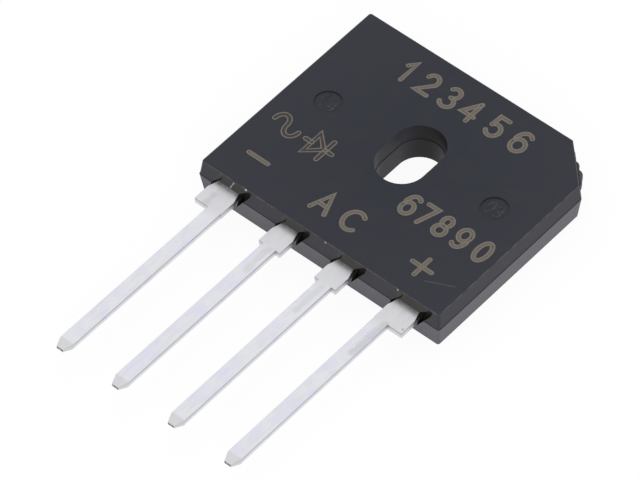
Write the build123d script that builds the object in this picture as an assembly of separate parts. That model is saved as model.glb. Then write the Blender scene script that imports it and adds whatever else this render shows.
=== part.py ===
from build123d import *
import os

# A flat four-lead bridge rectifier, in millimetres. The origin is the middle of the screw slot on the
# heat-sink face, which is z = 0. +Z goes through the thickness to the marked face, and the four leads
# point along -Y. Seen from the marked side the leads are minus, AC, AC, plus from left to right.

# Moulded body
body_width = 22.0
body_height = 18.6
body_thickness = 3.3
parting_height = 1.93
draft_angle = 6.8
corner_cut = 3.1
corner_round = 0.2
edge_round = 0.08
mould_step = 0.03
slot_to_lead_side = 10.05

# Screw slot, straight in the back half and flared in the front half
slot_radius = 1.85
slot_straight = 1.95
slot_ledge = 0.03
slot_flare_angle = 3.0

# Round ejector recesses beside the slot
ejector_diameter = 2.1
ejector_depth = 0.1
ejector_spread = 15.2

# Broken gate stub on the cut corner. The break is given as shares of its reach, evenly spaced.
gate_length = 2.7
gate_reach = 0.3
gate_thickness = 0.5
gate_below_parting = 0.35
gate_break = [0.35, 0.55, 0.2, 0.9, 1.0, 0.5, 0.62, 0.25]

# Lead frames, stamped from one flat sheet that lies on the parting plane
lead_pitch = 5.08
lead_width = 1.16
lead_length = 18.03
sheet_thickness = 0.52
tip_width = 0.56
tip_length = 0.75
tip_coin = 0.14
edge_roll = 0.07
collar_outer = 2.12
collar_inner = 0.75
collar_near = 0.6
collar_far = 1.8
collar_middle = 0.95
root_inset = 0.25
root_shoulder = 0.06

# Deep gaps left and right of each root. They lean to the right as they rise towards the marked face,
# and their outlines are measured sideways from the root's edge.
gap_roof = 0.1
gap_rise = 0.25
gap_floor = 0.75
left_gap_depth = 0.6
left_gap_top = 0.4
left_gap_shoulder = 0.05
left_gap_width = 0.17
left_gap_reach = 0.6
left_gap_foot = 1.0
right_gap_depth = 0.9
right_gap_top = 0.85
right_gap_tip = 1.1
right_gap_shoulder = 0.97
right_gap_inner = 0.27
right_gap_reach = 0.44
right_gap_foot = 0.3

# Silicon dice, solder and jumper clips
die_side = 2.5
die_thickness = 0.22
solder_thickness = 0.05
solder_slope = 45
clip_width = 1.6
clip_thickness = 0.15
clip_arch = 0.06
clip_foot = 1.3
clip_ramp = 0.35
frame_gap = 0.9
slot_clearance = 0.9
wall_clearance = 1.0

# Places worked out from the sizes above
lead_side = -slot_to_lead_side
top_side = lead_side + body_height
half_width = body_width / 2
lead_bottom_height = parting_height
lead_top_height = lead_bottom_height + sheet_thickness
minus_x, ac_1_x, ac_2_x, plus_x = [(i - 1.5) * lead_pitch for i in range(4)]
inner_side = half_width - wall_clearance
inner_top = top_side - wall_clearance
inner_bottom = lead_side + right_gap_depth + frame_gap / 2
slot_side = slot_radius + slot_clearance
slot_end = slot_straight / 2 + slot_radius + slot_clearance
die_bottom_height = lead_top_height + solder_thickness
die_top_height = die_bottom_height + die_thickness
clip_die_height = die_top_height + solder_thickness
clip_frame_height = lead_top_height + solder_thickness


def rectangle(x_low, x_high, y_low, y_high):
    """A flat rectangle between two x values and two y values."""
    centre = Pos((x_low + x_high) / 2, (y_low + y_high) / 2)
    return centre * Rectangle(x_high - x_low, y_high - y_low)


def shape_from(points):
    """A flat face inside a closed run of points."""
    return make_face(Polyline(*points, close=True))


def plate(face, bottom, thickness, taper=0):
    """Raise a flat face from the height bottom, drawn in by taper degrees on the way up."""
    return extrude(Pos(0, 0, bottom) * face, amount=thickness, taper=taper)


def moulded_half(outline, height, direction):
    """One drafted half of the body, raised from its outline on the parting plane."""
    half = extrude(outline, amount=height, dir=(0, 0, direction), taper=draft_angle)
    corners = [edge for edge in half.edges() if edge.bounding_box().size.Z > height / 2]
    half = fillet(corners, corner_round)
    end_face = half.faces().sort_by(Axis.Z)[-1 if direction > 0 else 0]
    return fillet(end_face.edges(), edge_round)


def moulded_block():
    """The body's two drafted halves, which meet at the parting plane."""
    face = Rectangle(body_width, body_height)
    corner = face.vertices().sort_by(lambda v: v.X + v.Y)[-1]
    face = Pos(0, (lead_side + top_side) / 2, parting_height) * chamfer(corner, corner_cut)
    back = moulded_half(face, parting_height, -1)
    front_outline = offset(face, -mould_step, kind=Kind.INTERSECTION)
    front = moulded_half(front_outline, body_thickness - parting_height, 1)
    return back + front


def screw_slot():
    """The slot's volume: straight through the back half, then flared to the marked face."""
    length = slot_straight + 2 * slot_radius
    face = SlotOverall(length, 2 * slot_radius, rotation=90)
    straight = extrude(face, amount=parting_height)
    mouth = SlotOverall(length + 2 * slot_ledge, 2 * (slot_radius + slot_ledge), rotation=90)
    flare = plate(mouth, parting_height, body_thickness - parting_height, -slot_flare_angle)
    return straight + flare


def ejector_recess(side):
    """One shallow round recess in the marked face, to the left (-1) or right (1) of the slot."""
    place = Pos(side * ejector_spread / 2, 0, body_thickness - ejector_depth / 2)
    return place * Cylinder(ejector_diameter / 2, ejector_depth)


def gate_stub():
    """The rough broken edge that the runner left along the cut corner, at the parting plane."""
    half = gate_length / 2
    step = gate_length / (len(gate_break) + 1)
    outline = [(-half, -gate_reach)]
    for number, share in enumerate(gate_break, start=1):
        outline.append((number * step - half, share * gate_reach))
    outline.append((half, -gate_reach))
    cut_middle = Pos(half_width - corner_cut / 2, top_side - corner_cut / 2) * Rot(0, 0, -45)
    stub = plate(shape_from(outline), parting_height - gate_below_parting, gate_thickness)
    return cut_middle * stub


def collar_reach(x):
    """How far a lead's collar reaches to the left and right of its middle."""
    if x == minus_x:
        return -collar_far, collar_near
    if x == plus_x:
        return -collar_near, collar_far
    return -collar_middle, collar_middle


def lead_outline(x):
    """The outline of one lead from its tip to where its root enters the body."""
    left, right = collar_reach(x)
    half = lead_width / 2
    tip_y = lead_side - lead_length
    inside_y = lead_side + right_gap_depth + frame_gap
    points = [
        (x - tip_width / 2, tip_y),
        (x - half, tip_y + tip_length),
        (x - half, lead_side - collar_outer),
        (x + left, lead_side - collar_outer),
        (x + left, lead_side - collar_inner),
        (x + left + root_inset, lead_side + root_shoulder),
        (x + left + root_inset, inside_y),
        (x + right - root_inset, inside_y),
        (x + right - root_inset, lead_side + root_shoulder),
        (x + right, lead_side - collar_inner),
        (x + right, lead_side - collar_outer),
        (x + half, lead_side - collar_outer),
        (x + half, tip_y + tip_length),
        (x + tip_width / 2, tip_y),
    ]
    return shape_from(points)


def stamped_frame(x, pads):
    """One lead frame: the lead outside, and the flat pads that it carries inside."""
    inner = pads[0]
    for pad in pads[1:]:
        inner = inner + pad
    flat = lead_outline(x) + inner
    blank = plate(flat, lead_bottom_height, sheet_thickness)
    # The tip is coined to a thinner end by two sloping cuts across the sheet.
    tip_y = lead_side - lead_length
    middle = lead_top_height - sheet_thickness / 2
    for sign in (-1, 1):
        face_z = middle + sign * sheet_thickness / 2
        wedge = make_face(Plane.YZ * Polyline(
            (tip_y, face_z),
            (tip_y, face_z - sign * tip_coin),
            (tip_y + tip_length, face_z),
            close=True,
        ))
        blank = blank - Pos(x, 0, 0) * extrude(wedge, amount=lead_width, both=True)
    # The long edges outside the body are rolled over a little by the plating and the punch.
    long_edges = [
        edge for edge in blank.edges().filter_by(Axis.Y)
        if edge.center().Y < lead_side - collar_outer and edge.length > lead_length / 2
    ]
    return fillet(long_edges, edge_roll)


def minus_frame():
    """The minus frame, a bar along the left side."""
    bar = rectangle(-inner_side, minus_x + collar_near - root_inset, inner_bottom, inner_top - frame_gap)
    return stamped_frame(minus_x, [bar])


def ac_1_frame():
    """The first AC frame: a pad left of the slot and an arm across the top of it."""
    left = minus_x + collar_near - root_inset + frame_gap
    neck_left = ac_1_x - collar_middle + root_inset
    neck = rectangle(neck_left, ac_1_x + collar_middle - root_inset, inner_bottom, -slot_end)
    link = rectangle(left, ac_1_x, -slot_end - clip_width, -slot_end)
    pad = rectangle(left, -slot_side, -slot_end - clip_width, inner_top)
    arm = rectangle(left, slot_side - frame_gap, slot_end, inner_top)
    return stamped_frame(ac_1_x, [neck, link, pad, arm])


def ac_2_pad_right():
    """The right end of the second AC pad, clear of the plus frame's neck."""
    return plus_x - collar_near + root_inset - frame_gap


def ac_2_frame():
    """The second AC frame: a pad below the slot."""
    left = ac_1_x + collar_middle - root_inset + frame_gap
    pad = rectangle(left, ac_2_pad_right(), inner_bottom, -slot_end - clip_width)
    return stamped_frame(ac_2_x, [pad])


def plus_frame():
    """The plus frame: a neck and the large pad right of the slot, cut along the body's cut corner."""
    neck = rectangle(plus_x - collar_near + root_inset, inner_side, inner_bottom, 0)
    cut = corner_cut - wall_clearance * (2 - 2 ** 0.5) + wall_clearance / 2
    bottom = -slot_end - clip_width + frame_gap
    pad = shape_from([
        (slot_side, bottom),
        (inner_side, bottom),
        (inner_side, inner_top - cut),
        (inner_side - cut, inner_top),
        (slot_side, inner_top),
    ])
    return stamped_frame(plus_x, [neck, pad])


def die_places():
    """The middle of each die, and the middle of the clip's foot on the frame that it joins."""
    row_top = (slot_end + inner_top) / 2
    row_bottom = (inner_bottom - slot_end - clip_width) / 2
    right_column = slot_side + frame_gap / 2 + die_side / 2
    left_column = -slot_side - frame_gap / 4 - die_side / 2
    ac_2_left = ac_1_x + collar_middle - root_inset + frame_gap
    minus_foot = (-inner_side + minus_x + collar_near - root_inset) / 2
    lower_die_y = -slot_end + frame_gap / 2
    return [
        ((right_column + clip_foot / 2, row_top), (slot_side - frame_gap - clip_foot / 2, row_top)),
        ((right_column, lower_die_y), (right_column, row_bottom)),
        ((left_column, 0), (minus_foot, 0)),
        ((ac_2_left + die_side / 2, row_bottom), (minus_foot, row_bottom)),
    ]


def die_square(place):
    """The flat square of one die."""
    return Pos(*place) * Rectangle(die_side, die_side)


def solder_pad(place, length, width, angle, bottom):
    """A thin solder joint that spreads a little towards its bottom."""
    face = Pos(*place) * Rot(0, 0, angle) * Rectangle(length, width)
    return plate(face, bottom, solder_thickness, solder_slope)


def jumper_clip(start, end):
    """A bent strip from the top of a die to the next frame, arched over what lies between."""
    run = Vector(*end) - Vector(*start)
    length = run.length
    half = clip_foot / 2
    crown = clip_die_height + clip_arch
    lower = [
        (-half, clip_die_height),
        (half, clip_die_height),
        (half + clip_ramp, crown),
        (length - half - 2 * clip_ramp, crown),
        (length - half, clip_frame_height),
        (length + half, clip_frame_height),
    ]
    upper = [(s, z + clip_thickness) for s, z in reversed(lower)]
    side = make_face(Plane.XZ * Polyline(*lower, *upper, close=True))
    strip = extrude(side, amount=clip_width / 2, both=True)
    angle = Vector(1, 0).get_signed_angle(run, Vector(0, 0, 1))
    return Pos(*start) * Rot(0, 0, angle) * strip, angle


def inner_pieces():
    """Dice, solder joints and clips, keyed by name."""
    pieces = {}
    for number, (die, foot) in enumerate(die_places(), start=1):
        clip, angle = jumper_clip(die, foot)
        pieces[f"diode_die_{number}"] = plate(die_square(die), die_bottom_height, die_thickness)
        pieces[f"jumper_clip_{number}"] = clip
        joint = solder_pad(die, die_side, die_side, 0, lead_top_height)
        pieces[f"solder_under_die_{number}"] = joint
        joint = solder_pad(die, clip_foot, clip_width, angle, die_top_height)
        pieces[f"solder_on_die_{number}"] = joint
        joint = solder_pad(foot, clip_foot, clip_width, angle, lead_top_height)
        pieces[f"solder_clip_foot_{number}"] = joint
    return pieces


def upright(points):
    """A volume that runs along Y with the given outline in x and z, from outside the body inwards."""
    return make_face(Plane.XZ * Polyline(*points, close=True))


def root_gap(depth, outline):
    """One gap beside a root, from its depth inside the body to the outer end of the collars."""
    return extrude(Pos(0, lead_side + depth, 0) * upright(outline), amount=depth + collar_outer)


def root_gaps(x):
    """The gaps on both sides of one lead root."""
    left, right = collar_reach(x)
    left = x + left + root_inset
    right = x + right - root_inset
    roof = body_thickness - gap_roof
    shoulder = lead_top_height + gap_rise
    left_gap = root_gap(left_gap_depth, [
        (left, lead_bottom_height),
        (left, lead_top_height),
        (left + left_gap_shoulder + left_gap_width, shoulder),
        (left + left_gap_top, roof),
        (left + left_gap_shoulder, shoulder),
        (left - left_gap_reach, parting_height),
        (left - left_gap_foot, gap_floor),
    ])
    right_gap = root_gap(right_gap_depth, [
        (right, lead_bottom_height),
        (right, lead_top_height),
        (right + right_gap_inner, shoulder),
        (right + right_gap_top, roof),
        (right + right_gap_tip, roof),
        (right + right_gap_shoulder, shoulder),
        (right + right_gap_reach, parting_height),
        (right - right_gap_foot, gap_floor),
    ])
    return left_gap + right_gap


def epoxy_body(held):
    """The one moulding, with the slot, recesses and pockets, closed round the pieces that it holds."""
    body = moulded_block() + gate_stub() - screw_slot()
    for side in (-1, 1):
        body = body - ejector_recess(side)
    for x in (minus_x, ac_1_x, ac_2_x, plus_x):
        body = body - root_gaps(x)
    for piece in held:
        body = body - piece
    return body


def main():
    os.makedirs("parts", exist_ok=True)
    pieces = {
        "lead_minus": minus_frame(),
        "lead_ac_1": ac_1_frame(),
        "lead_ac_2": ac_2_frame(),
        "lead_plus": plus_frame(),
    }
    pieces.update(inner_pieces())
    pieces["epoxy_body"] = epoxy_body(list(pieces.values()))
    for name, shape in pieces.items():
        export_step(shape, f"parts/{name}.step")


main()
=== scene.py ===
from math import atan2, cos, pi, radians, sin

import bmesh
import bpy
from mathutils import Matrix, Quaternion, Vector

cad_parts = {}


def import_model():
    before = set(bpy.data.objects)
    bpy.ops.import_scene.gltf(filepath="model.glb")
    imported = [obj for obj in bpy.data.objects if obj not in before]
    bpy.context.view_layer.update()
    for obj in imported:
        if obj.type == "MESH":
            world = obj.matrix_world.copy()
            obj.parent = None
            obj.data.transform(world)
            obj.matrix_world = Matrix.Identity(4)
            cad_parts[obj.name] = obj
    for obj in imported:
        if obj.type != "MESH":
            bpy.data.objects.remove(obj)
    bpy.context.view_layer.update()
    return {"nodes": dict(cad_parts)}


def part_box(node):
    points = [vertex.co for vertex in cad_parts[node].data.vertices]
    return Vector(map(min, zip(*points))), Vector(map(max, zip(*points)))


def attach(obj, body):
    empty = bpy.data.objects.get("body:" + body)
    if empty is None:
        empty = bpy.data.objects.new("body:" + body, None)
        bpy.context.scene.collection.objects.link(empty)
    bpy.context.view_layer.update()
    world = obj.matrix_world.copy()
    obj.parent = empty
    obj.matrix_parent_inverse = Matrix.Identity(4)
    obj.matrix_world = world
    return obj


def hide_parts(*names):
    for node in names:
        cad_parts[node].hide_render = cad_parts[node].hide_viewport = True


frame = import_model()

# Lengths below are in millimetres, and MM turns them into Blender's metres.
MM = 0.001

# Heights and places of the part, from its boxes.
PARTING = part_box("lead_plus")[0].z / MM
FACE_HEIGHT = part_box("epoxy_body")[1].z / MM
LEAD_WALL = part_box("epoxy_body")[0].y / MM
LEAD_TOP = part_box("lead_plus")[1].z / MM
LEAD_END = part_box("lead_plus")[0].y / MM

# The middle of each lead's root and how far its left and right edges lie from there, as in the part.
ROOTS = [(-7.62, -1.55, 0.35), (-2.54, -0.7, 0.7), (2.54, -0.7, 0.7), (7.62, -0.35, 1.55)]

# A gap beside a root, seen from the lead side: sideways from the root's right edge, and height.
GAP_OUTLINE = [
    (-0.02, 1.9), (-0.02, 2.45), (0.27, 2.7), (0.85, 3.2),
    (1.1, 3.2), (0.97, 2.7), (0.44, 1.93), (-0.3, 0.75),
]

# Where the gaps are cut from and to.
GAP_MOUTH = -12.5
GAP_END = -9.2

# A wall farther left or right of the middle than this is taken for one of the body's sides.
SIDE_FROM = 9.9

# A wall farther from the slot's middle than this is an outer one.
OUTER_FROM = 7.4

# All of the slot's walls lie nearer to its middle than this.
SLOT_REACH = 4.5

# The gate's broken stub is what lies past this x + y and above this height.
GATE_ROOT = 16.47
GATE_FOOT = 1.2

# The round recesses: their depth, and how far their middles lie from the slot's.
RECESS_DEPTH = 0.1
RECESS_REACH = 7.6

# Light scratches: start, end, width and strength, in the part's frame.
SCRATCHES = [
    ((-7.79, -9.86, 3.17), (-8.09, -9.92, 2.51), 0.07, 0.6),
    ((-5.6, -9.9, 3.27), (-4.2, -9.9, 3.27), 0.05, 0.35),
    ((8.11, -8.1, 3.3), (10.02, -7.18, 3.3), 0.06, 0.08),
]

# Dust specks: place, radius and strength.
DUST = [
    ((-6.7, -9.92, 3.25), 0.08, 0.75),
    ((0.62, -9.88, 3.22), 0.06, 0.45),
    ((7.16, -9.88, 3.22), 0.06, 0.45),
]

# From here towards the body the leads are a little darker.
COLLAR_END = -12.6

# Smudges on the leads: start, end, width and strength.
SMUDGES = [
    ((-2.45, -12.4, LEAD_TOP), (-2.4, -14.9, LEAD_TOP), 0.3, 0.2),
    ((2.6, -12.6, LEAD_TOP), (2.55, -15.2, LEAD_TOP), 0.3, 0.2),
    ((8.08, -12.3, LEAD_TOP), (7.9, -15.6, LEAD_TOP), 0.35, 0.3),
    ((9.25, -11.83, LEAD_TOP), (9.27, -11.83, LEAD_TOP), 0.09, 0.8),
    ((-8.5, -12.2, LEAD_TOP), (-8.6, -11.2, LEAD_TOP), 0.3, 0.25),
]

# The etching stands a few thousandths of a millimetre proud, and is sunk as far into the moulding.
ETCH_SUNK = 0.005
ETCH_PROUD = 0.003
ETCH_STEP = 0.002
ETCH_LIFT = 0.0005

# The strength of the soft light from all sides.
SOFT_LIGHT = 0.7


def srgb(red, green, blue):
    """A display colour, 0 to 255, as the linear colour that a shader takes."""
    def linear(value):
        share = value / 255
        return share / 12.92 if share <= 0.04045 else ((share + 0.055) / 1.055) ** 2.4
    return linear(red), linear(green), linear(blue), 1.0


def placed(name, data):
    """A new object in the scene."""
    made = bpy.data.objects.new(name, data)
    bpy.context.scene.collection.objects.link(made)
    return made


class Graph:
    """A material's node tree, with short calls for the nodes that the materials here use."""

    def __init__(self, name):
        self.material = bpy.data.materials.new(name)
        self.material.use_nodes = True
        self.tree = self.material.node_tree
        self.shader = self.tree.nodes["Principled BSDF"]
        place = self.add("ShaderNodeTexCoord").outputs["Object"]
        self.place = self.vector("SCALE", place, Scale=1 / MM)

    def add(self, kind, inputs=None, **settings):
        """A new node; each input is a plain value or another node's output."""
        node = self.tree.nodes.new(kind)
        for name, value in settings.items():
            setattr(node, name, value)
        for key, value in (inputs or {}).items():
            self.feed(node.inputs[key], value)
        return node

    def feed(self, socket, value):
        """Links another node's output to the socket, or sets the socket's own value."""
        if isinstance(value, bpy.types.NodeSocket):
            self.tree.links.new(value, socket)
        else:
            socket.default_value = value

    def vector(self, operation, *vectors, **inputs):
        """Vector maths, which gives one number for a length or a dot product."""
        inputs.update(enumerate(vectors))
        node = self.add("ShaderNodeVectorMath", inputs, operation=operation)
        return node.outputs["Value" if operation in ("LENGTH", "DOT_PRODUCT") else "Vector"]

    def math(self, operation, first, second=0.0):
        """Maths on one or two numbers."""
        return self.add("ShaderNodeMath", {0: first, 1: second}, operation=operation).outputs[0]

    def times(self, first, *others):
        """The product of all the values."""
        for other in others:
            first = self.math("MULTIPLY", first, other)
        return first

    def noise(self, scale, detail=2.0, roughness=0.5, distortion=0.0, stretch=(1, 1, 1), shift=0.0):
        """Noise with that many features per millimetre."""
        place = self.vector("MULTIPLY_ADD", self.place, stretch, (shift, shift, shift))
        values = {"Vector": place, "Scale": scale, "Detail": detail}
        values.update({"Roughness": roughness, "Distortion": distortion})
        return self.add("ShaderNodeTexNoise", values).outputs["Fac"]

    def span(self, value, low, high, to_low=0.0, to_high=1.0, smooth=False):
        """value from low to high, mapped to to_low to to_high and held there outside."""
        values = {"Value": value, "From Min": low, "From Max": high, "To Min": to_low, "To Max": to_high}
        kind = "SMOOTHSTEP" if smooth else "LINEAR"
        return self.add("ShaderNodeMapRange", values, interpolation_type=kind).outputs["Result"]

    def until(self, value, low, high, smooth=False):
        """1 where value is under low, falling to 0 at high."""
        return self.span(value, low, high, 1.0, 0.0, smooth)

    def mix(self, share, first, second):
        """The first colour where share is 0, the second where it is 1."""
        node = self.add("ShaderNodeMix", data_type="RGBA")
        for key, value in ((0, share), (6, first), (7, second)):
            self.feed(node.inputs[key], value)
        return node.outputs[2]

    def axis(self, vector, name):
        """One axis of a vector, X, Y or Z."""
        return self.add("ShaderNodeSeparateXYZ", {0: vector}).outputs[name]

    def facing(self, name):
        """The surface direction's share along X, Y or Z, without relief."""
        return self.axis(self.add("ShaderNodeTexCoord").outputs["Normal"], name)

    def near(self, point, radius, soft, end=None, ragged=0.0, ragged_scale=3.0):
        """1 within radius of a point, or of a line from it to end, falling to 0 over the soft distance."""
        offset = self.vector("SUBTRACT", self.place, point)
        if end:
            run = Vector(end) - Vector(point)
            along = self.span(self.vector("DOT_PRODUCT", offset, run / run.length_squared), 0.0, 1.0)
            offset = self.vector("SUBTRACT", offset, self.vector("SCALE", run, Scale=along))
        distance = self.vector("LENGTH", offset)
        if ragged:
            wobble = self.span(self.noise(ragged_scale, 3), 0.3, 0.7, -ragged, ragged)
            distance = self.math("ADD", distance, wobble)
        return self.until(distance, radius, radius + soft, smooth=True)

    def bump(self, height, depth, strength=1.0):
        """Relief of that depth in millimetres."""
        values = {"Height": height, "Distance": depth * MM, "Strength": strength}
        last = self.shader.inputs["Normal"].links
        if last:
            values["Normal"] = last[0].from_socket
        self.set(Normal=self.add("ShaderNodeBump", values).outputs["Normal"])

    def set(self, **inputs):
        """Sets the shader's inputs, named with _ for each space."""
        for name, value in inputs.items():
            self.feed(self.shader.inputs[name.replace("_", " ")], value)


def epoxy_face(g, grain):
    """The tone of the marked face: darkest near the slot, with faint violet and green clouds."""
    outward = g.span(g.vector("LENGTH", g.place), 3.0, 14.0)
    violet = g.span(g.noise(0.5, 2, shift=3.1), 0.45, 0.68)
    green = g.span(g.noise(0.7, 2, shift=17.7), 0.48, 0.7)
    colour = g.mix(outward, srgb(28, 32, 42), srgb(40, 42, 51))
    colour = g.mix(g.times(violet, 0.35), colour, srgb(44, 38, 48))
    colour = g.mix(g.times(green, 0.3), colour, srgb(34, 41, 43))
    return g.mix(g.span(grain, 0.4, 0.8, 0.0, 0.4), colour, srgb(50, 52, 58))


def epoxy_walls_and_painted_light(g, colour, wall, grain):
    """The walls are greyer than the face, partly as painted light bounced from the table, and the outer ones
    below the parting line are painted lighter still, as light bounced up from the table.
    """
    height = g.axis(g.place, "Z")
    below = g.until(height, PARTING - 0.03, PARTING + 0.03)
    lead_side = g.until(g.axis(g.place, "Y"), LEAD_WALL + 0.35, LEAD_WALL + 0.45)
    far_out = g.span(g.vector("LENGTH", g.place), OUTER_FROM, OUTER_FROM + 0.2)
    outer = g.math("MAXIMUM", lead_side, far_out)
    # Partly painted light: the walls are greyer than the face.
    colour = g.mix(g.times(wall, 0.8), colour, srgb(49, 47, 54))
    # Painted bounce light: the outer walls below the parting line are much lighter.
    colour = g.mix(g.times(wall, below, outer), colour, srgb(83, 82, 88))
    # The strip above each root is browner, and the broken gate stub greyer.
    above = g.math("SUBTRACT", 1.0, below)
    strip_y, strip_height = -9.9, 2.8
    for middle, left, right in ROOTS:
        start = (middle + left + 0.3, strip_y, strip_height)
        end = (middle + right + 0.25, strip_y, strip_height)
        strip = g.times(g.near(start, radius=0.38, soft=0.12, end=end), wall, above)
        colour = g.mix(g.times(strip, 0.7), colour, srgb(60, 58, 52))
    corner = g.math("ADD", g.axis(g.place, "X"), g.axis(g.place, "Y"))
    stub = g.times(g.span(corner, GATE_ROOT, GATE_ROOT + 0.05), g.span(height, GATE_FOOT, GATE_FOOT + 0.1))
    colour = g.mix(g.times(stub, g.span(grain, 0.35, 0.6, 0.5, 1.0)), colour, srgb(84, 83, 82))
    # Painted highlight: the rounded edge of the face is painted lighter, where it catches some light.
    tilt = g.facing("Z")
    edge = g.times(g.span(tilt, 0.35, 0.5), g.until(tilt, 0.95, 0.98))
    edge = g.times(edge, g.span(height, FACE_HEIGHT - 0.2, FACE_HEIGHT - 0.15))
    uneven = g.span(g.noise(1.5, 3), 0.4, 0.6, 0.3, 1.0)
    return g.mix(g.times(edge, uneven), colour, srgb(84, 82, 86))


def epoxy_painted_hollow_shade(g, colour, wall):
    """Painted shade: the slot's far end is painted nearly black, and the insides of the gaps a dull brownish
    grey.
    """
    slot = g.times(g.until(g.vector("LENGTH", g.place), SLOT_REACH + 0.1, SLOT_REACH + 0.3), wall)
    # Painted shade: the slot's far end is nearly black.
    far_end_shade = g.times(slot, g.until(g.facing("Y"), -1.0, -0.3))
    colour = g.mix(far_end_shade, colour, srgb(4, 4, 5))
    # Painted shade: the insides of the gaps are one dull brownish grey.
    y = g.axis(g.place, "Y")
    deep = g.span(y, LEAD_WALL + 0.45, LEAD_WALL + 0.55)
    gap_shade = g.math("MAXIMUM", g.span(g.facing("Y"), -0.9, -0.6), deep)
    across = g.math("ABSOLUTE", g.axis(g.place, "X"))
    gap_shade = g.times(gap_shade, g.until(y, GAP_END + 0.2, GAP_END + 0.4), wall)
    gap_shade = g.times(gap_shade, g.until(across, SIDE_FROM, SIDE_FROM + 0.1))
    return g.mix(gap_shade, colour, srgb(58, 56, 53))


def epoxy_wear(g, colour):
    """Light scratches and specks of dust."""
    for start, end, width, strength in SCRATCHES:
        line = g.near(start, width / 2, width / 2, end=end, ragged=width / 3, ragged_scale=6.0)
        colour = g.mix(g.times(line, strength), colour, srgb(176, 176, 178))
    for place, radius, strength in DUST:
        speck = g.near(place, radius, radius / 2, ragged=radius / 3, ragged_scale=8.0)
        colour = g.mix(g.times(speck, strength), colour, srgb(208, 208, 204))
    return colour


def epoxy_material():
    """Dark slate moulding compound: a fine matt grain, faint clouding, some dust and light scratches, with
    painted light on its walls and face edge and painted shade in its hollows.
    """
    g = Graph("epoxy_moulding")
    grain = g.noise(11.0, 4, 0.6)
    wall = g.until(g.math("ABSOLUTE", g.facing("Z")), 0.5, 0.9)
    colour = epoxy_face(g, grain)
    colour = epoxy_walls_and_painted_light(g, colour, wall, grain)
    colour = epoxy_painted_hollow_shade(g, colour, wall)
    colour = epoxy_wear(g, colour)
    g.set(Base_Color=colour, Roughness=g.span(grain, 0.2, 0.8, 0.4, 0.54), Specular_IOR_Level=0.25)
    g.bump(g.noise(22.0, 3, 0.6), 0.012, 0.35)
    g.bump(g.noise(3.0, 3, 0.6), 0.02, 0.12)
    return g.material


def tin_material():
    """Satin tin plate with lavender clouding, drawn lines and smudges, painted shade on its sides and pressed
    tips, and darker grey cut ends.
    """
    g = Graph("tin_plate")
    y = g.axis(g.place, "Y")
    height = g.axis(g.place, "Z")
    cloud = g.span(g.noise(0.9, 3, 0.6, 0.6), 0.4, 0.62)
    drawn = g.noise(5.0, 3, 0.6, stretch=(1.0, 0.12, 1.0))
    colour = g.mix(cloud, srgb(226, 227, 230), srgb(222, 221, 235))
    colour = g.mix(g.span(drawn, 0.5, 0.8, 0.0, 0.4), colour, srgb(205, 205, 211))
    collar = g.span(y, COLLAR_END - 0.6, COLLAR_END + 0.6)
    colour = g.mix(g.times(collar, 0.6), colour, srgb(208, 208, 208))
    for start, end, width, strength in SMUDGES:
        smudge = g.near(start, width / 4, width, end=end, ragged=width / 3, ragged_scale=1.5)
        colour = g.mix(g.times(smudge, strength), colour, srgb(160, 162, 154))
    # Painted shade: the sides are darker in their upper half.
    side = g.until(g.facing("Z"), 0.35, 0.7)
    painted_side_shade = g.times(side, g.span(height, LEAD_TOP - 0.26, LEAD_TOP - 0.12))
    colour = g.mix(g.times(painted_side_shade, 0.75), colour, srgb(168, 168, 172))
    # Painted shade: the pressed tips are a little darker on their bevels. Their cut faces are a darker grey.
    tip_shade = g.until(y, LEAD_END + 0.7, LEAD_END + 0.85)
    colour = g.mix(g.times(tip_shade, 0.6), colour, srgb(206, 206, 205))
    cut_face = g.times(g.until(y, LEAD_END + 0.02, LEAD_END + 0.06), g.until(g.facing("Y"), -0.9, -0.7))
    cut_face_grey = g.mix(g.span(g.noise(4.0, 2), 0.4, 0.6), srgb(84, 82, 80), srgb(150, 150, 150))
    colour = g.mix(cut_face, colour, cut_face_grey)
    g.set(Base_Color=colour, Metallic=1.0, Roughness=g.span(drawn, 0.3, 0.7, 0.3, 0.42))
    g.bump(drawn, 0.01, 0.25)
    g.bump(g.noise(1.6, 3, 0.6), 0.02, 0.15)
    return g.material


def plain_metal(name, colour, darker, roughness):
    """A metal of the inner pieces, slightly clouded."""
    g = Graph(name)
    cloud = g.noise(2.0, 3, 0.6)
    g.set(Base_Color=g.mix(g.span(cloud, 0.35, 0.7), colour, darker), Metallic=1.0)
    g.set(Roughness=g.span(cloud, 0.3, 0.7, roughness - 0.06, roughness + 0.08))
    g.bump(g.noise(9.0, 3), 0.006, 0.3)
    return g.material


def silicon_material():
    """A die with a soft grey metallised face."""
    g = Graph("silicon_die")
    cloud = g.noise(3.0, 3, 0.6)
    g.set(Base_Color=g.mix(cloud, srgb(112, 115, 124), srgb(134, 136, 142)), Metallic=0.6)
    g.set(Roughness=g.span(cloud, 0.3, 0.7, 0.25, 0.4))
    return g.material


def etched_material(name, colour, darker):
    """Moulding compound lightened by a laser, with a powdery surface."""
    g = Graph(name)
    powder = g.span(g.noise(7.0, 3, 0.65), 0.35, 0.7)
    g.set(Base_Color=g.mix(powder, colour, darker), Roughness=0.85, Specular_IOR_Level=0.1)
    g.bump(g.noise(16.0, 3), 0.012, 0.5)
    return g.material


def dress_nodes():
    """Gives each CAD node the material of what it is made of."""
    materials = {
        "epoxy_body": epoxy_material(),
        "lead": tin_material(),
        "diode_die": silicon_material(),
        "jumper_clip": plain_metal("clip_copper", srgb(214, 150, 118), srgb(190, 122, 92), 0.34),
        "solder": plain_metal("solder_joint", srgb(196, 196, 200), srgb(170, 170, 176), 0.36),
    }
    for name, node in frame["nodes"].items():
        kind = next(start for start in materials if name.startswith(start))
        node.data.materials.clear()
        node.data.materials.append(materials[kind])


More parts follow.
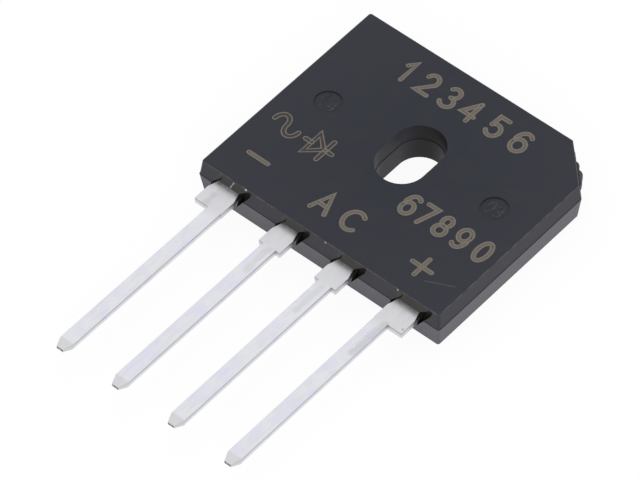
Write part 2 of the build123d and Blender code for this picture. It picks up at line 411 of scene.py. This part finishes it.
def gap_cutter():
    """Four prisms that fill the gaps right of the lead roots, from their ends to in front of the wall."""
    mesh = bmesh.new()
    count = len(GAP_OUTLINE)
    for middle, _, right in ROOTS:
        edge = middle + right
        front, back = [
            [mesh.verts.new(((edge + x) * MM, y * MM, z * MM)) for x, z in GAP_OUTLINE]
            for y in (GAP_MOUTH, GAP_END)
        ]
        for i in range(count):
            j = (i + 1) % count
            mesh.faces.new([front[i], front[j], back[j], back[i]])
        mesh.faces.new(front[::-1])
        mesh.faces.new(back)
    bmesh.ops.recalc_face_normals(mesh, faces=mesh.faces)
    data = bpy.data.meshes.new("gap_cutters")
    mesh.to_mesh(data)
    mesh.free()
    return placed("gap_cutters", data)


def moulding_with_gaps():
    """Stands for the moulding, with the gap right of each lead root open to the lead side."""
    piece = placed("moulding_with_gaps", frame["nodes"]["epoxy_body"].data.copy())
    cutter = gap_cutter()
    cut = piece.modifiers.new("gaps", "BOOLEAN")
    cut.operation = "DIFFERENCE"
    cut.solver = "EXACT"
    cut.object = cutter
    seen = piece.evaluated_get(bpy.context.evaluated_depsgraph_get())
    piece.data = bpy.data.meshes.new_from_object(seen)
    piece.modifiers.clear()
    bpy.data.objects.remove(cutter)
    normals = piece.data.attributes.get("custom_normal")
    if normals:
        piece.data.attributes.remove(normals)
    # All is flat but the slot's round walls, and the edges along the parting line stay sharp.
    mesh = bmesh.new()
    mesh.from_mesh(piece.data)
    for face in mesh.faces:
        centre = face.calc_center_median() / MM
        face.smooth = centre.xy.length < SLOT_REACH and abs(face.normal.z) < 0.5
    for edge in mesh.edges:
        edge.smooth = any(abs(corner.co.z / MM - PARTING) > 0.02 for corner in edge.verts)
    mesh.to_mesh(piece.data)
    mesh.free()
    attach(piece, "root")
    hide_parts("epoxy_body")


# Etched and raised figures are made of strokes: a run of points and whether it closes on itself.

def arc(x, y, radius_x, radius_y, start, end, steps=14):
    """Points along an ellipse's arc from start to end degrees."""
    angles = [radians(start + (end - start) * i / steps) for i in range(steps + 1)]
    return [(x + radius_x * cos(a), y + radius_y * sin(a)) for a in angles]


def ring_of(x, y, radius_x, radius_y, start=60, steps=28):
    """A closed ellipse, without the repeated last point."""
    return arc(x, y, radius_x, radius_y, start, start + 360, steps)[:-1]


# Each figure sits in a box 1 wide and 1 high.
FIGURES = {
    "0": [(ring_of(0.5, 0.5, 0.5, 0.5), True)],
    "1": [([(0.15, 0.72), (0.55, 1.0), (0.55, 0.0)], False)],
    "2": [(arc(0.5, 0.71, 0.45, 0.29, 165, -25) + [(0.02, 0.0), (1.0, 0.0)], False)],
    "3": [(arc(0.45, 0.76, 0.42, 0.24, 150, -90), False), (arc(0.45, 0.26, 0.5, 0.26, 90, -155), False)],
    "4": [([(0.76, 0.0), (0.76, 1.0)], False), ([(0.7, 0.95), (0.0, 0.3), (1.0, 0.3)], False)],
    "5": [([(0.9, 1.0), (0.16, 1.0), (0.1, 0.5)], False), (arc(0.46, 0.31, 0.5, 0.31, 140, -150), False)],
    "6": [(arc(0.56, 0.56, 0.56, 0.44, 50, 180), False), (ring_of(0.5, 0.31, 0.5, 0.31, 170), True)],
    "7": [([(0.0, 1.0), (1.0, 1.0), (0.38, 0.0)], False)],
    "8": [(ring_of(0.5, 0.75, 0.4, 0.25, 90), True), (ring_of(0.5, 0.26, 0.5, 0.26, 90), True)],
    "9": [(arc(0.44, 0.44, 0.56, 0.44, -130, 0), False), (ring_of(0.5, 0.69, 0.5, 0.31, 10), True)],
    "A": [([(0.0, 0.0), (0.5, 1.0), (1.0, 0.0)], False), ([(0.19, 0.36), (0.81, 0.36)], False)],
    "C": [(arc(0.56, 0.5, 0.56, 0.5, 48, 312, 20), False)],
    "-": [([(0.0, 0.5), (1.0, 0.5)], False)],
    "+": [([(0.5, 0.0), (0.5, 1.0)], False), ([(0.0, 0.5), (1.0, 0.5)], False)],
    "wave": [(arc(0.25, 0.5, 0.25, 0.5, 180, 0) + arc(0.75, 0.5, 0.25, 0.5, 180, 360)[1:], False)],
    "diode": [
        ([(0.0, 0.5), (0.24, 0.5)], False),
        ([(0.24, 1.0), (0.24, 0.0), (0.7, 0.5)], True),
        ([(0.76, 1.0), (0.76, 0.0)], False),
        ([(0.76, 0.5), (1.0, 0.5)], False),
    ],
}


def figure(name, x, y, width, height):
    """The strokes of a figure with its lower left corner at x, y."""
    return [
        ([(x + width * u, y + height * v) for u, v in points], closed)
        for points, closed in FIGURES[name]
    ]


def row_of(text, centres, baseline, width, height):
    """The strokes of a row of figures at the given centres."""
    strokes = []
    for character, centre in zip(text, centres):
        strokes += figure(character, centre - width / 2, baseline, width, height)
    return strokes


def beside(points, distance, closed):
    """The line at that distance to the left of a run of points, mitred at its corners."""
    count = len(points)
    line = []
    for i, (x, y) in enumerate(points):
        before = points[i - 1] if closed or i > 0 else None
        after = points[(i + 1) % count] if closed or i < count - 1 else None
        first = Vector((x - before[0], y - before[1])).normalized() if before else None
        second = Vector((after[0] - x, after[1] - y)).normalized() if after else None
        first = first or second
        second = second or first
        middle = (first + second).normalized()
        miter = distance / max(middle.dot(first), 0.5)
        line.append((x - middle.y * miter, y + middle.x * miter))
    return line


def around(points, distance, cap_steps=6):
    """The closed outline at that distance round an open run of points, with round ends."""
    outline = []
    for run in (points, points[::-1]):
        outline += beside(run, distance, False)
        start, end = outline[-1], run[-1]
        angle = atan2(start[1] - end[1], start[0] - end[0])
        for i in range(1, cap_steps):
            a = angle - pi * i / cap_steps
            outline.append((end[0] + distance * cos(a), end[1] + distance * sin(a)))
    return outline


def spine(points, cap_steps=6):
    """The run there and back that pairs with the outline from around(), point for point."""
    there = list(points) + [points[-1]] * (cap_steps - 1)
    back = list(points[::-1]) + [points[0]] * (cap_steps - 1)
    return there + back


class Marks:
    """A mesh of etched or raised strokes, built up stroke by stroke."""

    # The places of an etched stroke's materials in its piece's list.
    CORE, EDGE, START = range(3)

    def __init__(self, name):
        self.name = name
        self.mesh = bmesh.new()

    def loop(self, points, height):
        """A loop of corners at one height."""
        return [self.mesh.verts.new((x * MM, y * MM, height * MM)) for x, y in points]

    def wall(self, first, second, material):
        """Faces between two closed loops of as many points."""
        count = len(first)
        for i in range(count):
            j = (i + 1) % count
            corners = [first[i], first[j], second[j], second[i]]
            self.mesh.faces.new(corners).material_index = material

    def tube(self, loops, material):
        """Walls from each loop to the next, and from the last to the first."""
        for first, second in zip(loops, loops[1:] + loops[:1]):
            self.wall(first, second, material)

    def band(self, outer, inner, low, high, material):
        """A closed ring of rectangular section between two outlines."""
        loops = [self.loop(outer, low), self.loop(outer, high), self.loop(inner, high), self.loop(inner, low)]
        self.tube(loops, material)

    def ridge(self, stroke, half_low, half_high, low, high, material):
        """A closed ridge along a stroke, half_low wide at its foot and half_high at its top."""
        points, closed = stroke
        if closed:
            feet = [beside(points, side * half_low, True) for side in (1, -1)]
            tops = [beside(points, side * half_high, True) for side in (1, -1)]
            loops = [self.loop(feet[0], low), self.loop(tops[0], high)]
            loops += [self.loop(tops[1], high), self.loop(feet[1], low)]
            self.tube(loops, material)
            return
        loops = [self.loop(spine(points), low), self.loop(around(points, half_low), low)]
        loops += [self.loop(around(points, half_high), high), self.loop(spine(points), high)]
        for first, second in zip(loops, loops[1:]):
            self.wall(first, second, material)

    def etch(self, stroke, half, edge, high):
        """A stroke as a laser leaves it: a darker core between two lighter edges."""
        points, closed = stroke
        low = FACE_HEIGHT - ETCH_SUNK
        self.ridge(stroke, half - edge / 2, half - edge / 2, low, high, self.CORE)
        if closed:
            for side in (1, -1):
                outer = beside(points, side * half, True)
                inner = beside(points, side * (half - edge), True)
                self.band(outer, inner, low, high + ETCH_STEP, self.EDGE)
        else:
            outer = around(points, half)
            inner = around(points, half - edge)
            self.band(outer, inner, low, high + ETCH_STEP, self.EDGE)

    def dot(self, point, radius, high):
        """The small dark spot where a stroke begins."""
        rim = ring_of(*point, radius, radius, start=0, steps=10)
        foot = self.loop(rim, FACE_HEIGHT - ETCH_SUNK)
        top = self.loop(rim, high + 2 * ETCH_STEP)
        self.wall(foot, top, self.START)
        for corners in (top, foot[::-1]):
            self.mesh.faces.new(corners).material_index = self.START

    def finish(self, materials):
        """Closes the mesh and makes it a piece that rides on the part."""
        bmesh.ops.remove_doubles(self.mesh, verts=self.mesh.verts, dist=1e-5 * MM)
        empty = [face for face in self.mesh.faces if face.calc_area() < 1e-10 * MM * MM]
        bmesh.ops.delete(self.mesh, geom=empty, context="FACES")
        bmesh.ops.recalc_face_normals(self.mesh, faces=self.mesh.faces)
        data = bpy.data.meshes.new(self.name)
        self.mesh.to_mesh(data)
        self.mesh.free()
        for material in materials:
            data.materials.append(material)
        piece = placed(self.name, data)
        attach(piece, "root")


def etched_group(name, strokes, half, edge, materials):
    """One piece made of several etched strokes."""
    marks = Marks(name)
    for i, stroke in enumerate(strokes):
        # Each stroke lies a hair over the last one, so that no two tops share a plane where they cross.
        high = FACE_HEIGHT + ETCH_PROUD + ETCH_LIFT * i
        marks.etch(stroke, half, edge, high)
        marks.dot(stroke[0][0], edge / 2, high)
    marks.finish(materials)


def etched_marks():
    """The terminal signs, two rows of plain numbers and two circuit symbols on the face."""
    light = etched_material("etched_edge", srgb(121, 115, 106), srgb(106, 100, 92))
    core = etched_material("etched_core", srgb(106, 100, 93), srgb(92, 87, 80))
    burnt = etched_material("etched_start", srgb(72, 68, 66), srgb(60, 57, 57))
    upper_centres = (-5.11, -3.23, -1.19, 0.64, 2.99, 5.16)
    lower_centres = (2.94, 4.37, 5.94, 7.65, 9.5)
    groups = {
        "upper_numbers": row_of("123456", upper_centres, baseline=4.88, width=1.05, height=1.9),
        "lower_numbers": row_of("67890", lower_centres, baseline=-4.45, width=0.9, height=1.8),
        "ac_sign": row_of("AC", (-1.69, 0.8), baseline=-8.1, width=1.3, height=1.8),
        "minus_sign": figure("-", -8.8, -7.62, width=1.75, height=1.0),
        "plus_sign": figure("+", 6.3, -8.13, width=1.7, height=1.7),
    }
    for name, strokes in groups.items():
        etched_group(name, strokes, half=0.19, edge=0.12, materials=[core, light, burnt])
    symbols = figure("wave", -9.5, -4.3, width=2.2, height=1.5)
    symbols += figure("diode", -6.6, -4.6, width=2.4, height=2.0)
    dark_core = etched_material("etched_dark_core", srgb(74, 71, 69), srgb(58, 57, 58))
    etched_group("circuit_symbols", symbols, half=0.2, edge=0.085, materials=[dark_core, light, burnt])


def raised_numbers():
    """The small raised mould numbers in the two round recesses."""
    moulding = bpy.data.materials["epoxy_moulding"]
    floor_height = FACE_HEIGHT - RECESS_DEPTH
    low = floor_height - 0.01
    rise = 0.07
    lift = 0.003
    half_pitch = 0.38
    for name, text, middle in (
        ("mould_number_left", "14", -RECESS_REACH),
        ("mould_number_right", "03", RECESS_REACH),
    ):
        marks = Marks(name)
        centres = (middle - half_pitch, middle + half_pitch)
        for i, stroke in enumerate(row_of(text, centres, baseline=-0.5, width=0.48, height=1.0)):
            high = floor_height + rise + lift * i
            marks.ridge(stroke, half_low=0.12, half_high=0.07, low=low, high=high, material=0)
        marks.finish([moulding])


def floor():
    """A white table that is white to the camera where no shadow falls on it."""
    g = Graph("table_white")
    g.set(Base_Color=(0.95, 0.95, 0.95, 1), Roughness=0.9, Specular_IOR_Level=0.0)
    path = g.add("ShaderNodeLightPath").outputs
    seen = g.math("MAXIMUM", path["Is Camera Ray"], path["Is Glossy Ray"])
    white = g.add("ShaderNodeEmission", {"Color": (1, 1, 1, 1), "Strength": 1.0}).outputs[0]
    share = g.times(seen, 0.93)
    surface = g.add("ShaderNodeMixShader", {0: share, 1: g.shader.outputs[0], 2: white})
    g.feed(g.tree.nodes["Material Output"].inputs["Surface"], surface.outputs[0])
    half = 600 * MM
    data = bpy.data.meshes.new("table")
    corners = [(-half, -half, 0), (half, -half, 0), (half, half, 0), (-half, half, 0)]
    data.from_pydata(corners, [], [(0, 1, 2, 3)])
    data.materials.append(g.material)
    table = placed("table", data)
    table.location.z = -0.02 * MM


def world():
    """White to the camera and in reflections, and a plain soft light on the part."""
    made = bpy.data.worlds.new("studio")
    made.use_nodes = True
    tree = made.node_tree
    back = tree.nodes["Background"]
    back.inputs["Color"].default_value = (1, 1, 1, 1)
    path = tree.nodes.new("ShaderNodeLightPath")
    strongest = path.outputs["Is Camera Ray"]
    for name in ("Is Glossy Ray", "Is Transmission Ray"):
        largest = tree.nodes.new("ShaderNodeMath")
        largest.operation = "MAXIMUM"
        tree.links.new(strongest, largest.inputs[0])
        tree.links.new(path.outputs[name], largest.inputs[1])
        strongest = largest.outputs[0]
    level = tree.nodes.new("ShaderNodeMapRange")
    level.inputs["To Min"].default_value = SOFT_LIGHT
    level.inputs["To Max"].default_value = 1.0
    tree.links.new(strongest, level.inputs["Value"])
    tree.links.new(level.outputs["Result"], back.inputs["Strength"])
    bpy.context.scene.world = made


def lamp(name, direction, distance, size, power):
    """A square soft box that looks at the part from that direction."""
    data = bpy.data.lights.new(name, "AREA")
    data.size = size * MM
    data.energy = power
    made = placed(name, data)
    away = Vector(direction).normalized()
    aim = Vector((0.0, -6.0, 2.0))
    made.location = (away * distance + aim) * MM
    made.rotation_euler = away.to_track_quat("Z", "Y").to_euler()
    made.visible_glossy = False


def camera():
    """The photograph's viewpoint, with a long lens from the lead side."""
    data = bpy.data.cameras.new("camera")
    data.sensor_width = 36.0
    data.lens = 307.38
    data.clip_start = 20 * MM
    data.clip_end = 5000 * MM
    made = placed("camera", data)
    location = Vector((159.903, -190.633, 293.296)) * MM
    target = Vector((-0.762, -8.863, 1.5)) * MM
    roll = -0.0167
    look = (target - location).to_track_quat("-Z", "Y") @ Quaternion((0, 0, 1), roll)
    made.location = location
    made.rotation_euler = look.to_euler()
    bpy.context.scene.camera = made


dress_nodes()
moulding_with_gaps()
etched_marks()
raised_numbers()
floor()
world()
lamp("soft_box_front", direction=(0.55, -0.65, 0.5), distance=500, size=350, power=1.0)
lamp("soft_box_top", direction=(-0.3, 0.4, 1.0), distance=500, size=400, power=0.6)
camera()
bpy.context.scene.view_settings.view_transform = "Standard"
